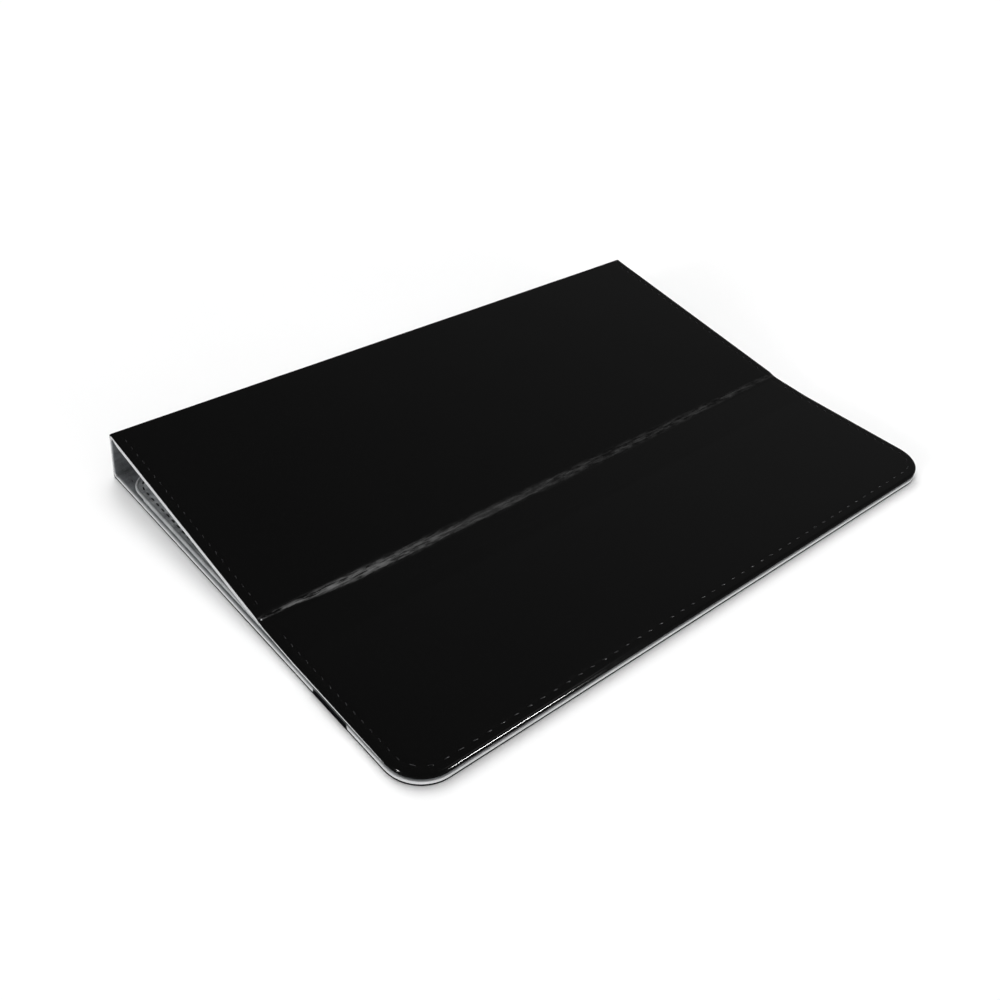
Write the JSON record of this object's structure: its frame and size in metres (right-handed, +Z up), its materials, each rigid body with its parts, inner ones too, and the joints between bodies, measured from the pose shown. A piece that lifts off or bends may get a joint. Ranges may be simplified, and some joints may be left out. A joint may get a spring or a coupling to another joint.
{
  "type": "tablet case",
  "caption": "Closed folio stand case for a tablet: leather-covered back, spine and folding two-panel cover round a sewn suede frame.",
  "frame": {"origin": "centre of the closed case's bounding box, at its underside", "axes": "+X along the spine, +Y from the free front edge towards the spine, +Z up through the closed case"},
  "size_m": [0.265, 0.186, 0.0217],
  "materials": {
    "outer_leather": "smooth black coated leather, semi-gloss",
    "suede_lining": "brushed grey microsuede",
    "suede_edge": "light grey microsuede, folded and sewn edge",
    "board": "grey stiffening board",
    "thread": "black polyester sewing thread",
    "disc_metal": "plated disc"
  },
  "bodies": {
    "back_panel": {"back_skin": "outer_leather", "back_stitching": "thread", "back_board": "board", "back_lining": "suede_lining", "keeper_disc_left": "disc_metal", "keeper_disc_right": "disc_metal", "frame_binding": "suede_edge", "frame_face": "suede_lining", "frame_stitching": "thread", "frame_stiffener": "board", "frame_gusset": "suede_edge"},
    "spine": {"spine_skin": "outer_leather", "spine_stitching_left": "thread", "spine_stitching_right": "thread", "spine_board": "board", "spine_lining": "suede_lining"},
    "upper_cover": {"upper_skin": "outer_leather", "upper_stitching_left": "thread", "upper_stitching_right": "thread", "upper_board": "board", "upper_lining": "suede_lining"},
    "lower_cover": {"lower_skin": "outer_leather", "lower_stitching": "thread", "lower_board": "board", "lower_lining": "suede_lining", "closure_magnet_left": "disc_metal", "closure_magnet_right": "disc_metal"}
  },
  "joints": [
    {"name": "spine_hinge", "type": "hinge", "parent": "back_panel", "child": "spine", "pos_m": [0, 0.093, 0], "axis": [-1, 0, 0], "range_deg": [0, 175]},
    {"name": "cover_hinge", "type": "hinge", "parent": "spine", "child": "upper_cover", "pos_m": [0, 0.08991, 0.02168], "axis": [-1, 0, 0], "range_deg": [0, 175]},
    {"name": "cover_crease", "type": "hinge", "parent": "upper_cover", "child": "lower_cover", "pos_m": [0, -0.013, 0.0067], "axis": [-1, 0, 0], "range_deg": [0, 170]}
  ]
}
